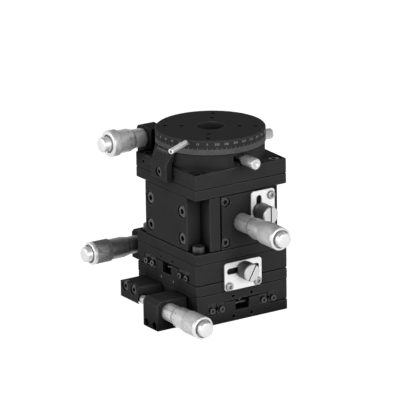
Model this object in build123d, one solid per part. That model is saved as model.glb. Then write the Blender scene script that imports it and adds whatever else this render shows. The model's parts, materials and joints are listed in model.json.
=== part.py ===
from build123d import *
import os

# Four axis positioning stage: X and Y crossed roller slides, a wedge driven Z
# lift and a turntable with coarse and fine rotation. Millimetres, +Z up.
# The origin is the middle of the underside of the lowest plate.

# ---- driving dimensions -------------------------------------------------
PLATE = 60.0            # side of every square plate
SLIDE_H = 18.0          # height of one X or Y slide
FLANGE = 6.0            # thickness of a slide's base flange
RUN_GAP = 0.3           # gap below a moving carriage
SIDE = 29.8             # half width of a moving carriage
RAIL_IN = 11.5          # inner side of the fixed rails
RAIL_SPLIT = 17.0       # plane between fixed and moving rails
RAIL_GAP = 0.6          # gap between the two rails
RAIL_OUT = 22.5         # outer side of the moving rails
RAIL_LEN = 59.2
RAIL_H = 6.0
ROLLER_D = 2.0
ROLLER_N = 7
ROLLER_PITCH = 5.0
CHANNEL = 4.4           # half width of the spring channel
BOLT = 25.0             # half spacing of the corner screws
M4 = 2.0                # thread radius
M4_HEAD = 3.5
M4_HOLE = 2.15          # close clearance hole radius
MOUNT_HOLE = 2.4        # free clearance hole radius, for the customer's own screws
Z_BASE = 36.0           # underside of the lift
Z_PLATE = 6.0
Z_TOP = 73.0            # underside of the lift's top plate
WEDGE_Z = 54.2          # height of the 45 degree wedge face at x = 0
Z_AXIS = 56.3           # height of the lift micrometer
CORE = 13.2             # half width of the fixed core
COLUMN_IN = 13.8
COLUMN_OUT = 20.75
SIDE_X = 21.0
R_BASE = 79.0
R_FLANGE = 8.5
BODY_R = 30.0
BODY_TOP = 95.9
TABLE_Z = 96.1
TABLE_H = 8.0
TABLE_R = 30.5
BORE_R = 7.7
HUB_R = 11.95
CLAMP_Z = 92.8          # height of the clamp and lock screws
RING_R = 20.6
BALL_PCR = 26.0
BALL_R = 1.5
TABLE_HOLE = 1.65       # table thread radius
HOLES_AT = -36.5        # angle of the first table hole, degrees
ARM_Z = (89.2, 94.3)    # bottom and top of the fine rotation's arm
ARM_HALF = 3.0          # its half width
FINE_X = -34.4          # fine micrometer axis
FINE_Z = 93.2
STEM_R = 4.5            # micrometer stem inside its holder
SPINDLE_R = 2.5
TRAVEL = 6.5            # a slide's travel to either side
LIFT = 8.0              # full travel of the lift
FINE_FEED = 3.0         # feed of the fine rotation to either side
TIP_GAP = 0.12          # between the fine rotation's arm and the tips on it
SMALL = (5.0, 5.8, 6.4, 3.7)    # sleeve, thimble and knurl radius, cap length
LARGE = (5.3, 6.5, 7.4, 4.6)    # the same of the fine rotation micrometer
MIC_Y = -42.5           # slide micrometer axis, in the slide's own frame
MIC_FACE = 21.2         # outer face of the micrometer block

TURNS = {"x+": Rot(0, 90, 0), "x-": Rot(0, -90, 0), "y+": Rot(-90, 0, 0),
         "y-": Rot(90, 0, 0), "z+": Rot(0, 0, 0), "z-": Rot(180, 0, 0)}
pieces = {}


# ---- small makers -------------------------------------------------------
def box(x0, x1, y0, y1, z0, z1):
    return Pos((x0 + x1) / 2, (y0 + y1) / 2, (z0 + z1) / 2) * Box(x1 - x0, y1 - y0, z1 - z0)


def rod(axis, a, b, p, q, r):
    """A cylinder along an axis from a to b; p and q are its other two coordinates."""
    m = (a + b) / 2
    at = {"x": Pos(m, p, q), "y": Pos(p, m, q), "z": Pos(p, q, m)}[axis]
    return at * TURNS[axis + "+"] * Cylinder(r, abs(b - a))


def turned(*pts):
    """A body turned about X from points (x, radius)."""
    return revolve(make_face(Polyline(*pts, close=True)), Axis.X, 360)


def screw(point, way, head_r, head_h, r, length, socket=True):
    """A cap screw; point is under the head, way is where the head faces."""
    head = Pos(0, 0, head_h / 2) * Cylinder(head_r, head_h)
    if socket:
        key = extrude(RegularPolygon(head_r * 0.5, 6), head_h * 0.55)
        head -= Pos(0, 0, head_h * 0.5) * key
    shank = Pos(0, 0, -length / 2) * Cylinder(r, length)
    return Pos(*point) * TURNS[way] * (head + shank)


def vee(axis, half, c1, c2, length, mid=0.0):
    """A square prism standing on its edge, the room of a row of crossed rollers."""
    b = Box(length, 2 * half, 2 * half) if axis == "x" else Box(2 * half, 2 * half, length)
    if axis == "x":
        return Pos(mid, c1, c2) * Rot(45, 0, 0) * b
    return Pos(c1, c2, mid) * Rot(0, 0, 45) * b


def group(items):
    return Compound(children=list(items))


def ball_nosed(tip, end, r, nose):
    """A rod along X from tip to end, whose tip is part of a ball of radius nose."""
    ball = Pos(tip + nose, 0, 0) * Sphere(nose)
    return (ball & rod("x", tip, tip + 1, 0, 0, r)) + rod("x", tip + 1, end, 0, 0, r)


def micrometer(back, front, smooth, knurl, tip, travel, sizes=SMALL):
    """Sleeve, spindle and thimble along +X; x = 0 is the outer face of the holder."""
    out_r, barrel_r, knurl_r, cap = sizes
    n = front + smooth + knurl
    bore = out_r + 0.2
    wall = n - 6.0
    sleeve_end = wall - travel - 0.5
    sleeve = turned((back, SPINDLE_R + 0.03), (back, STEM_R), (0, STEM_R), (0, out_r),
                    (sleeve_end, out_r), (sleeve_end, SPINDLE_R + 0.03))
    spindle = ball_nosed(tip, n - 1.6, SPINDLE_R, 5.0)
    k = front + smooth
    thimble = turned((front, bore), (front, bore + 0.1), (front + 2.6, barrel_r), (k, barrel_r),
                     (k, knurl_r - 0.3), (k + 0.3, knurl_r), (n - 0.6, knurl_r), (n, knurl_r - 0.5),
                     (n, 5.2), (n - 1.4, 5.2), (n - 1.4, SPINDLE_R + 0.04),
                     (wall, SPINDLE_R + 0.04), (wall, bore))
    stop = turned((n - 1.4, 0), (n - 1.4, 4.25), (n + cap - 0.8, 4.25), (n + cap, 3.5), (n + cap, 0))
    return sleeve, spindle, group([thimble, stop])


def lock_knob(stud, collar, head_r, head_len, slot_at):
    """A knurled clamping screw along +X; x = 0 is the face it clamps, slot_at turns its slot."""
    k = turned((-stud, 0), (-stud, 1.5), (0.1, 1.5), (0.1, collar), (1.2, collar),
               (1.2, head_r - 0.4), (1.6, head_r), (head_len - 0.5, head_r),
               (head_len, head_r - 0.5), (head_len, 0))
    slot = box(head_len - 1.0, head_len + 1, -head_r - 1, head_r + 1, -0.4, 0.4)
    return k - Rot(slot_at, 0, 0) * slot


def thumb_screw(stud, neck, start, end, r=3.1):
    """A knurled thumb screw along +X: stud, a thicker neck, then its head from start to end."""
    return turned((stud, 0), (stud, 1.5), (neck, 1.5), (neck, 2.1), (start, 2.1),
                  (start, r - 0.3), (start + 0.3, r), (end - 0.4, r), (end, r - 0.4), (end, 0))


def tube_spring(low, high, r, wire, low_turn, high_turn):
    """A closely wound extension spring along +X, with the middles of its end loops given."""
    reach = r - 0.6
    coil = rod("x", low + reach, high - reach, 0, 0, r)
    coil -= rod("x", low + reach + wire, high - reach - wire, 0, 0, r - wire)
    loop = Cylinder(r, wire) - Cylinder(r - wire, wire)
    return coil + [Pos(low, 0, 0) * low_turn * loop, Pos(high, 0, 0) * high_turn * loop]


def lock_plate(width, height, slot_z, slot_half, screw_z, screw_y, slot_r=1.75):
    """A thin slotted plate standing on the YZ plane from x = 0 to 1."""
    plate = extrude(Plane.YZ * RectangleRounded(width, height, 1.8), 1.0)
    slot = Pos(0, 0, slot_z) * extrude(Plane.YZ * SlotCenterToCenter(2 * slot_half, 2 * slot_r), 3)
    plate -= Pos(-1, 0, 0) * slot
    for y in screw_y:
        plate -= rod("x", -1, 2, y, screw_z, 1.4)
    return plate


# ---- one crossed roller slide ------------------------------------------
def slide(tag, place, upper_screws, mic_z, thimble, block_z, foot_z):
    """All pieces of a slide that travels along its own X, moved to its place."""
    mid = RAIL_H / 2 + FLANGE + 0.15
    top = FLANGE + RAIL_H + RUN_GAP
    corners = [(sx * BOLT, sy * BOLT) for sx in (-1, 1) for sy in (-1, 1)]
    sides = (-1, 1)
    half = PLATE / 2
    gx = RAIL_LEN / 2
    base_rail_y = (RAIL_IN + RAIL_SPLIT) / 2 - 0.45
    car_rail_y = (RAIL_OUT + RAIL_SPLIT) / 2 + 0.45
    out = {}

    base = box(-half, half, -half, half, 0, FLANGE)
    base += [box(-half, half, min(s * CHANNEL, s * RAIL_IN), max(s * CHANNEL, s * RAIL_IN),
                 FLANGE, FLANGE + RAIL_H) for s in sides]
    for x, y in corners:
        base -= rod("z", -1, 7, x, y, M4_HOLE if upper_screws else MOUNT_HOLE)
        base -= rod("z", 1.8, 7, x, y, 3.8)
    for sx in sides:
        for s in sides:
            base -= rod("z", -1, 7, sx * 18, s * base_rail_y, 1.27)
            base -= rod("z", -1, 2.8, sx * 18, s * base_rail_y, 2.45)
            base -= rod("x", sx * 26, sx * 31, s * 6.0, 2.9, 1.0)
    base -= rod("y", -7.5, 7.5, 26.5, 9.2, 0.82)
    for x in (-9.3, 9.3):
        base -= rod("y", 24.8, 31, x, 2.8, 1.27)
    for x in (9.8, 18.0):
        base -= rod("y", -31, -23.5, x, foot_z, 1.27)
    out["base_plate"] = base

    groove = [vee("x", ROLLER_D / 2 + 0.02, s * RAIL_SPLIT, mid, 70) for s in sides]
    rails = []
    for i, s in enumerate(sides):
        a, b = sorted((s * RAIL_IN, s * (RAIL_SPLIT - RAIL_GAP / 2)))
        r = box(-gx, gx, a, b, FLANGE, FLANGE + RAIL_H) - groove[i]
        for sx in sides:
            r -= rod("z", FLANGE - 1, 10.6, sx * 18, s * base_rail_y, 1.27)
            r -= rod("x", sx * (gx - 4.6), sx * (gx + 1), s * 13.8, 8.6, 1.02)
        rails.append(r)
    out["base_rails"] = group(rails)

    car = box(-half, half, -SIDE, SIDE, FLANGE + RUN_GAP, SLIDE_H)
    car -= box(-half - 1, half + 1, -RAIL_OUT, RAIL_OUT, 0, top)
    for x, y in corners:
        car -= rod("z", 5, 19, x, y, M4 + 0.02)
    for sx in sides:
        for s in sides:
            car -= rod("z", 11, 19, sx * 18, s * car_rail_y, 1.27)
            car -= rod("z", 15.4, 19, sx * 18, s * car_rail_y, 2.45)
            car -= rod("x", sx * 26, sx * 31, s * 6.0, 14.5, 0.95)
        car -= rod("z", 12, 16, -23, sx * 2.2, 0.82)
        car -= rod("y", -31, -24.4, -14.3 + sx * 4.2, 15.0, 1.52)
    car -= rod("y", 24.5, 31, 0, 11.4, 1.52)
    out["carriage"] = car

    rails = []
    for i, s in enumerate(sides):
        a, b = sorted((s * RAIL_OUT, s * (RAIL_SPLIT + RAIL_GAP / 2)))
        r = box(-gx, gx, a, b, FLANGE + RUN_GAP, top) - groove[i]
        for sx in sides:
            r -= rod("z", 8.2, 13, sx * 18, s * car_rail_y, 1.27)
            r -= rod("x", sx * (gx - 4.6), sx * (gx + 1), s * 20.2, 8.6, 1.02)
        rails.append(r)
    out["carriage_rails"] = group(rails)

    cages = []
    xs = [(i - (ROLLER_N - 1) / 2) * ROLLER_PITCH for i in range(ROLLER_N)]
    for s in sides:
        y = s * RAIL_SPLIT
        c = box(xs[0] - 3, xs[-1] + 3, y - 0.15, y + 0.15, mid - 2.3, mid + 2.3)
        for i, x in enumerate(xs):
            c -= box(x - 1.1, x + 1.1, y - 1, y + 1, mid - 1.47, mid + 1.47)
            turn = Rot(45 if i % 2 else -45, 0, 0)
            cages.append(Pos(x, y, mid) * turn * Cylinder(ROLLER_D / 2, ROLLER_D - 0.1))
        cages.append(c)
    out["roller_cages"] = group(cages)

    base_screws, car_screws = [], []
    for sx in sides:
        end = "x+" if sx > 0 else "x-"
        for s in sides:
            base_screws.append(screw((sx * 18, s * base_rail_y, 2.7), "z-", 2.25, 2.4, 1.25, 7.6, False))
            base_screws.append(screw((sx * gx, s * 13.8, 8.6), end, 1.8, 1.5, 1.0, 4.4))
            car_screws.append(screw((sx * 18, s * car_rail_y, 15.5), "z+", 2.25, 2.4, 1.25, 7.0, False))
            car_screws.append(screw((sx * gx, s * 20.2, 8.6), end, 1.8, 1.5, 1.0, 4.4))
        car_screws.append(rod("z", 7.2, 15.9, -23, sx * 2.2, 0.8))
        car_screws.append(screw((-14.3 + sx * 4.2, -42.8, 15.0), "y-", 2.75, 2.6, 1.5, 18.2))
        base_screws.append(screw((sx * 9.3, 31.0, 2.8), "y+", 2.2, 1.3, 1.25, 6.0))
    base_screws.append(rod("y", -7.4, 7.4, 26.5, 9.2, 0.8))
    for x in (9.8, 18.0):
        base_screws.append(screw((x, -36.5, foot_z), "y-", 2.2, 2.4, 1.25, 12.8))
    if upper_screws:
        for x, y in corners:
            base_screws.append(screw((x, y, 1.9), "z+", M4_HEAD, 3.9, M4, 7.4))
        for s in sides:
            base_screws.append(rod("x", 26.4, 29.7, s * 6.0, 2.9, 0.97))

    out["return_springs"] = group(
        [Pos(0, s * 2.2, 9.2) * tube_spring(-22.8, 26.3, 1.5, 0.4, Rot(0, 0, 0), Rot(90, 0, 0))
         for s in sides])

    block = box(6.6, MIC_FACE, -50.2, -half, *block_z)
    block -= box(0, 30, -31, -20, FLANGE + 0.1, 20)
    block = chamfer(block.edges().filter_by(Axis.X).group_by(Axis.Y)[0].sort_by(Axis.Z)[-1], 2.5)
    block -= rod("x", 0, 30, MIC_Y, mic_z, STEM_R + 0.02)
    for x in (9.8, 18.0):
        block -= rod("y", -52, -20, x, foot_z, 1.4)
        block -= rod("y", -52, -36.5, x, foot_z, 2.35)
    out["micrometer_block"] = block

    m = micrometer(6.6 - MIC_FACE, *thimble, -6.5 - MIC_FACE, TRAVEL)
    at = Pos(MIC_FACE, MIC_Y, mic_z)
    out["sleeve"], out["spindle"], out["thimble"] = (at * p for p in m)

    anvil = box(-23.3, -5.3, -46.0, -SIDE, 8.0, 17.3)
    anvil -= rod("x", -8.8, 0, MIC_Y, mic_z, 3.3)
    anvil += rod("x", -9.0, -6.55, MIC_Y, mic_z, 2.0)
    for sx in sides:
        anvil -= rod("y", -48, -29, -14.3 + sx * 4.2, 15.0, 1.6)
        anvil -= rod("y", -48, -42.8, -14.3 + sx * 4.2, 15.0, 2.95)
    out["anvil_block"] = anvil

    plate = Pos(0, 0, 8.35) * lock_plate(24.4, 15.9, 11.4 - 8.35, 8.85, 2.8 - 8.35, (-9.3, 9.3))
    out["lock_plate"] = Pos(0, half, 0) * Rot(0, 0, 90) * plate
    out["lock_knob"] = Pos(0, half + 1, 11.4) * Rot(0, 0, 90) * lock_knob(6.0, 3.9, 5.0, 9.4, 60)

    for name, shape in out.items():
        pieces[tag + name] = place * shape
    return [place * s for s in base_screws], [place * s for s in car_screws]


x_base, x_car = slide("x_", Pos(0, 0, 0), False, 10.2, (9.5, 11.4, 13.6), (0, 16.8), 2.6)
y_base, y_car = slide("y_", Pos(0, 0, SLIDE_H) * Rot(0, 0, -90), True, 10.9, (8.8, 11.4, 12.5),
                     (0.8, 18.0), 3.2)
pieces["x_base_screws"] = group(x_base)
pieces["x_carriage_screws"] = group(x_car + y_base)

# ---- lift ---------------------------------------------------------------
core_z = Z_BASE + Z_PLATE
core_top = Z_TOP - 0.4
half = PLATE / 2
corners = [(sx * BOLT, sy * BOLT) for sx in (-1, 1) for sy in (-1, 1)]
core_screws = [(-20.5, -10.8), (-20.5, 10.8), (18.0, -4.0), (18.0, 4.0)]
front_screws = [(sy * 10.1, z) for sy in (-1, 1) for z in (45.9, 69.1)]
spring_at = [(-24.0, -7.0), (-24.0, 7.0)]

plate = box(-half, half, -half, half, Z_BASE, core_z)
for x, y in corners:
    plate -= rod("z", Z_BASE - 1, core_z + 1, x, y, M4_HOLE)
for x, y in core_screws:
    plate -= rod("z", Z_BASE - 1, core_z + 1, x, y, M4_HOLE)
    plate -= rod("z", Z_BASE - 1, Z_BASE + 4.2, x, y, 3.8)
pieces["z_base_plate"] = plate

ways = [vee("z", 1.52, 0, s * (CORE + COLUMN_IN) / 2, 60, 58) for s in (-1, 1)]
core = box(-half, 22, -CORE, CORE, core_z, core_top)
core -= box(-17, 14, -8, 8, core_z + 2, core_top + 1)
core -= rod("x", 10, 30, 0, Z_AXIS, STEM_R + 0.02)
for v in ways:
    core -= v
for x, y in core_screws:
    core -= rod("z", core_z - 1, 49.4, x, y, M4 + 0.02)
for x, y in spring_at:
    core -= rod("z", core_z - 1, core_top + 1, x, y, 2.2)
    core -= rod("x", -26.6, -21.4, y, 43.6, 0.62)
for y, z in front_screws:
    core -= rod("x", 14.6, 23, y, z, 1.52)
pieces["z_guide_core"] = core

front = box(22, half - 0.3, -CORE, CORE, core_z, core_top)
front -= rod("x", 20, 31, 0, Z_AXIS, STEM_R + 0.02)
for y, z in front_screws:
    front -= rod("x", 20, 31, y, z, 1.7)
    front -= rod("x", 26.4, 31, y, z, 3.0)
front -= rod("x", 22.9, 31, 11.0, 61.0, 1.52)
pieces["z_front_plate"] = front

plates, columns = [], []
side_screws = [(sx * 16, z) for sx in (-1, 1) for z in (48.5, 64.0)]
for i, s in enumerate((-1, 1)):
    a, b = sorted((s * COLUMN_OUT, s * half))
    p = box(-SIDE_X, SIDE_X, a, b, core_z + 0.4, Z_TOP)
    a, b = sorted((s * COLUMN_IN, s * COLUMN_OUT))
    c = box(-half, half, a, b, core_z + 0.4, Z_TOP) - ways[i]
    for x, z in side_screws:
        p -= rod("y", s * 20, s * 31, x, z, M4_HOLE)
        p -= rod("y", s * 25.6, s * 31, x, z, 3.8)
        c -= rod("y", s * 14.6, s * 22, x, z, M4 + 0.02)
    for x in (-12, 12):
        p -= rod("z", 64, 74, x, s * 25.4, M4 + 0.02)
    for z in (51.5, 68.7):
        if s > 0:
            c -= rod("x", 24.8, 31, 18.8, z, 1.27)
    plates.append(p)
    columns.append(c)
pieces["z_side_plates"] = group(plates)
pieces["z_side_columns"] = group(columns)

top = box(-half, half, -half, half, Z_TOP, Z_TOP + Z_PLATE)
foot = Plane.XZ * make_face(Polyline((-8, WEDGE_Z - 7.95), (4, WEDGE_Z + 4.05), (4, Z_TOP + 1),
                                     (-8, Z_TOP + 1), close=True))
top += extrude(foot, 7, both=True)
for x, y in corners:
    top -= rod("z", Z_TOP - 1, 80, x, y, M4 + 0.02)
for x in (-12, 12):
    for s in (-1, 1):
        top -= rod("z", Z_TOP - 1, 80, x, s * 25.4, M4_HOLE)
        top -= rod("z", 74.8, 80, x, s * 25.4, 3.8)
for x, y in spring_at:
    top -= rod("z", Z_TOP - 1, 77, x, y, 2.2)
    top -= rod("x", -26.6, -21.4, y, 74.2, 0.62)
pieces["z_top_plate"] = top

wedge = Plane.XZ * make_face(Polyline((-8, core_z + 2.05), (12, core_z + 2.05), (12, WEDGE_Z + 12),
                                      (-8, WEDGE_Z - 8), close=True))
pieces["z_wedge"] = extrude(wedge, 7.8, both=True)

cages = []
zs = [48 + 4.8 * i for i in range(5)]
for s in (-1, 1):
    y = s * (CORE + COLUMN_IN) / 2
    c = box(-4, 4, y - 0.15, y + 0.15, zs[0] - 3, zs[-1] + 3)
    for i, z in enumerate(zs):
        c -= box(-2.2, 2.2, y - 1, y + 1, z - 1.6, z + 1.6)
        turn = Rot(0, 0, 45 if i % 2 else -45) * Rot(0, 90, 0)
        cages.append(Pos(0, y, z) * turn * Cylinder(1.5, 2.9))
    cages.append(c)
pieces["z_roller_cages"] = group(cages)

pieces["z_return_springs"] = group(
    [Pos(x, y, 0) * Rot(0, -90, 0) * tube_spring(44.1, 73.7, 1.9, 0.5, Rot(0, 0, 0), Rot(0, 0, 0))
     for x, y in spring_at])

m = micrometer(14 - (half - 0.3), 12.4, 11.4, 15.0, 12.05 - (half - 0.3), LIFT)
at = Pos(half - 0.3, 0, Z_AXIS)
pieces["z_sleeve"], pieces["z_spindle"], pieces["z_thimble"] = (at * p for p in m)

plate = Rot(90, 0, 0) * lock_plate(24.4, 15.3, 2.65, 8.0, -5.15, (-8.6, 8.6))
pieces["z_lock_plate"] = Pos(half, 13.65, 60.1) * plate
pieces["z_lock_knob"] = Pos(half + 1, 11.0, 61.0) * lock_knob(8.0, 3.9, 4.9, 11.9, 90)

y_top = y_car
for x, y in corners:
    y_top.append(screw((x, y, core_z), "z+", M4_HEAD, 4.0, M4, 11.0))
for x, y in core_screws:
    y_top.append(screw((x, y, Z_BASE + 4.1), "z-", M4_HEAD, 3.9, M4, 9.0, False))
for y, z in front_screws:
    y_top.append(screw((26.4, y, z), "x+", 2.75, 2.8, 1.5, 11.6))
for x, y in spring_at:
    y_top.append(rod("x", -26.5, -21.5, y, 43.6, 0.6))
pieces["y_carriage_screws"] = group(y_top)

# ---- turntable ----------------------------------------------------------
r_flange_top = R_BASE + R_FLANGE
housing = box(-half, half, -half, half, R_BASE, r_flange_top)
housing += rod("z", r_flange_top, BODY_TOP, 0, 0, BODY_R)
housing -= rod("z", 84.5, 97, 0, 0, RING_R + 0.4)
housing -= rod("z", R_BASE - 1, 90, 0, 0, BORE_R)
housing -= box(-33, -18, -6.4, 6.4, 88.8, 94.7)
housing -= box(18, 33, -4.6, 4.6, CLAMP_Z - 1.8, CLAMP_Z + 1.8)
housing -= rod("y", 18, 33, 0, CLAMP_Z, 1.53)
housing -= Pos(0, 0, 96.0) * Torus(BALL_PCR, BALL_R + 0.05)
for x, y in corners:
    housing -= rod("z", R_BASE - 1, 90, x, y, M4_HOLE)
    housing -= rod("z", 83.0, 90, x, y, 3.8)
for y in (-17, 17):
    housing -= rod("x", -31, -23.4, y, 83.5, M4 + 0.02)
housing -= rod("y", -31, -23, 0, 83.8, 1.52)
housing -= rod("y", -31, -27, -22.4, 83.5, 1.0)
pieces["r_housing"] = housing

ring = rod("z", 85.0, 95.4, 0, 0, RING_R)
ring += box(-38.5, -18, -ARM_HALF, ARM_HALF, *ARM_Z)
ring -= rod("z", 84, 97, 0, 0, HUB_R + 0.08)
ring -= rod("x", 5, 22, 0, CLAMP_Z, 1.53)
pieces["r_clamp_ring"] = ring

table = rod("z", TABLE_Z, TABLE_Z + TABLE_H, 0, 0, TABLE_R)
table = chamfer(table.edges().group_by(Axis.Z)[-1], 0.5)
table += rod("z", 85.3, TABLE_Z + 1, 0, 0, HUB_R)
table -= rod("z", 84, 106, 0, 0, BORE_R)
table -= Pos(0, 0, 96.0) * Torus(BALL_PCR, BALL_R + 0.05)
for k in range(4):
    spin = Rot(0, 0, HOLES_AT + 90 * k)
    table -= spin * rod("z", 95, 106, 16, 0, TABLE_HOLE)
    table -= spin * rod("z", 98.1, 106, 25, 0, TABLE_HOLE)
lever_at = Rot(0, 0, -59.6)
table -= lever_at * rod("x", 23.9, 32, 0, 102.4, 1.52)
pieces["r_table"] = table

lever = rod("x", 24, 48.5, 0, 102.4, 1.5)
lever -= Pos(47, 0, 102.4) * TURNS["x+"] * extrude(RegularPolygon(0.85, 6), 3)
pieces["r_lever"] = lever_at * lever

pieces["r_bearing_balls"] = group(
    [Rot(0, 0, 30 * k + 15) * Pos(BALL_PCR, 0, 96.0) * Sphere(BALL_R) for k in range(12)])

bracket = box(-40.4, -26, -22.5, -12.5, 80.0, 99.6) + box(-40.4, -26, 11.5, 22.5, 80.0, 98.8)
edges = bracket.edges().filter_by(Axis.Y).group_by(Axis.X)[0]
bracket = fillet([e for e in edges if e.center().Z > 95], 3.0)
bracket += box(-37, -30, -12.6, 12, 80.0, 87.0)
bracket -= box(-30, 0, -30, 30, 70, r_flange_top)
bracket -= rod("z", r_flange_top - 0.2, 110, 0, 0, BODY_R + 0.8)
bracket -= box(-31.4, 0, -30, 30, r_flange_top - 0.2, r_flange_top + 0.3)
bracket -= rod("y", -30, -5, FINE_X, FINE_Z, STEM_R + 0.02)
bracket -= rod("y", 5, 30, FINE_X, FINE_Z, 3.52)
for y in (-17, 17):
    bracket -= rod("x", -43, -25, y, 83.5, M4_HOLE)
    bracket -= rod("x", -43, -36.8, y, 83.5, 3.8)
pieces["r_bracket"] = bracket

m = micrometer(-10.0, 7.5, 9.8, 5.4, -22.5 + ARM_HALF + TIP_GAP, FINE_FEED, LARGE)
at = Pos(FINE_X, -22.5, FINE_Z) * Rot(0, 0, -90)
pieces["r_sleeve"], pieces["r_spindle"], pieces["r_thimble"] = (at * p for p in m)

barrel = turned((11.5, 1.58), (11.5, 3.5), (40.4, 3.5), (41.2, 2.7), (41.2, 0), (38.5, 0), (38.5, 1.58))
turn = Pos(FINE_X, 0, FINE_Z) * Rot(0, 0, 90)
pieces["r_plunger_barrel"] = turn * barrel
pieces["r_plunger_pin"] = turn * ball_nosed(ARM_HALF + TIP_GAP, 20.0, 1.55, 3.0)
pieces["r_plunger_spring"] = turn * turned((20.05, 0.9), (20.05, 1.4), (38.45, 1.4), (38.45, 0.9))

tab = box(-7.6, 7.6, -34.5, -30.0, 79.6, 90.0)
fan = Plane.XZ * make_face(Polyline((-7.6, 89.9), (7.6, 89.9), (9.5, 96.6), (-9.5, 96.6), close=True))
tab += Pos(0, -28, 0) * extrude(fan, 8)
tab &= Pos(0, 0, 87.6) * Cone(39.5, 31.4, 18.0)
tab -= rod("z", r_flange_top, 110, 0, 0, TABLE_R + 0.3)
tab -= rod("y", -40, -25, 0, 83.8, 1.7)
tab -= rod("y", -40, -31.0, 0, 83.8, 2.95)
pieces["r_vernier"] = tab

pieces["r_clamp_knob"] = Pos(0, 0, CLAMP_Z) * thumb_screw(12.1, 33.2, 34.4, 45.0)
pieces["r_lock_knob"] = Pos(0, 0, CLAMP_Z) * Rot(0, 0, 90) * thumb_screw(20.9, 30.4, 31.2, 40.3, 2.95)

z_top = []
for x, z in side_screws:
    for s in (-1, 1):
        z_top.append(screw((x, s * 25.7, z), "y+" if s > 0 else "y-", M4_HEAD, 3.9, M4, 11.0))
for x in (-12, 12):
    for s in (-1, 1):
        z_top.append(screw((x, s * 25.4, 74.9), "z+", M4_HEAD, 3.9, M4, 10.6, False))
for z in (51.5, 68.7):
    z_top.append(screw((31.0, 18.8, z), "x+", 2.2, 1.3, 1.25, 6.0))
for x, y in spring_at:
    z_top.append(rod("x", -26.5, -21.5, y, 74.2, 0.6))
for x, y in corners:
    z_top.append(screw((x, y, 83.1), "z+", M4_HEAD, 3.9, M4, 9.6))
for y in (-17, 17):
    z_top.append(screw((-36.85, y, 83.5), "x-", M4_HEAD, 3.9, M4, 13.0))
z_top.append(screw((0, -31.05, 83.8), "y-", 2.75, 2.8, 1.5, 7.6))
pieces["z_carriage_screws"] = group(z_top)

os.makedirs("parts", exist_ok=True)
for name, shape in pieces.items():
    export_step(shape, "parts/" + name + ".step")
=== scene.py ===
import json
import math

import bmesh
import bpy
import numpy as np
from mathutils import Matrix, Vector

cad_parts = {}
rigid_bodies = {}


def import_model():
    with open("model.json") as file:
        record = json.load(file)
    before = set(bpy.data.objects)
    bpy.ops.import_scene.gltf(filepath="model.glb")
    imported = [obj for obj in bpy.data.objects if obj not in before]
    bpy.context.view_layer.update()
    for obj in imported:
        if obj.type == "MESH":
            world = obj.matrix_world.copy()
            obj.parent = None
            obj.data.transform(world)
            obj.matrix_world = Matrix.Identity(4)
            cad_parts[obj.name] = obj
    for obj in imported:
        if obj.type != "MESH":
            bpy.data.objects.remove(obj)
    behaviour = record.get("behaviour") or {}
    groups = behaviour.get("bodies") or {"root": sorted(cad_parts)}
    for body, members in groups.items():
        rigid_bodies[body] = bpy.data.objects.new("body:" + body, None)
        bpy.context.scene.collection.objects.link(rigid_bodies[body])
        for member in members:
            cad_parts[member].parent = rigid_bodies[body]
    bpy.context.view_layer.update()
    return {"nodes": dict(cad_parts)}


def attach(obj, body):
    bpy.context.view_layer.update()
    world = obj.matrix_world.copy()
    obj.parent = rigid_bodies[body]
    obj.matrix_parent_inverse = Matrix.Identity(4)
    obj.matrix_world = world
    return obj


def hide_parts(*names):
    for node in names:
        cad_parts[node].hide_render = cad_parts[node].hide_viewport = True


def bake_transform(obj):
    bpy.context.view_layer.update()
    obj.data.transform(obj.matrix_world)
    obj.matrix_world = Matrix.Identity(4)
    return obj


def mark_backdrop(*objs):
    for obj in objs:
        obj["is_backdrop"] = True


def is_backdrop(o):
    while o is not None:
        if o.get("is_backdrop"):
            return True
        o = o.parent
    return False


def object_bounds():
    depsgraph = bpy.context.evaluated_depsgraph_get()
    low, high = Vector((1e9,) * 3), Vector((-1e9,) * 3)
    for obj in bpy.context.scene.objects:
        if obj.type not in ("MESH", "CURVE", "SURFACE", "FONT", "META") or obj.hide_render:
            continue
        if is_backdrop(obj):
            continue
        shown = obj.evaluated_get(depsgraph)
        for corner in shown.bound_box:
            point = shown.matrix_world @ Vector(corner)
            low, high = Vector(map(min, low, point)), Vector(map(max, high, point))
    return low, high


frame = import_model()


# ---- Black anodised plates and blocks -----------------------------------
# Every plate, carriage and block is milled aluminium, bead blasted and anodised
# black, with a fine grain and a faint unevenness. Long straight edges are broken
# and carry a painted highlight, and corners and seams carry painted shade; the
# round table is shown as its CAD solid.
MERGE = 2e-6        # points closer than this are one, in metres
LONG_EDGE = 0.006   # straight edges longer than this are broken, in metres
EDGE_CUT = 0.0004   # how far they are cut back, in metres
MIX_A = 6           # the sockets of a colour mix node: its first colour,
MIX_B = 7           # its second colour
MIX_OUT = 2         # and its result
# the colour of the painted shade deep in corners and between parts
DEEP = (0.002, 0.002, 0.002)


def node_group(name, inputs, outputs):
    """A new shader node group and its input and output nodes."""
    g = bpy.data.node_groups.new(name, "ShaderNodeTree")
    for label, kind, value in inputs:
        s = g.interface.new_socket(label, in_out="INPUT", socket_type=kind)
        if value is not None:
            s.default_value = value
    for label, kind in outputs:
        g.interface.new_socket(label, in_out="OUTPUT", socket_type=kind)
    return g, g.nodes.new("NodeGroupInput"), g.nodes.new("NodeGroupOutput")


def math_node(tree, op, a, b=None, c=None, clamp=False):
    """A math node whose inputs are numbers or sockets."""
    n = tree.nodes.new("ShaderNodeMath")
    n.operation = op
    n.use_clamp = clamp
    for i, v in enumerate((a, b, c)):
        if v is None:
            continue
        if isinstance(v, (int, float)):
            n.inputs[i].default_value = v
        else:
            tree.links.new(v, n.inputs[i])
    return n.outputs[0]


def group_node(tree, group, **values):
    """A node group in a tree, with some of its inputs set."""
    n = tree.nodes.new("ShaderNodeGroup")
    n.node_tree = group
    for label, value in values.items():
        n.inputs[label].default_value = value
    return n


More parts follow.
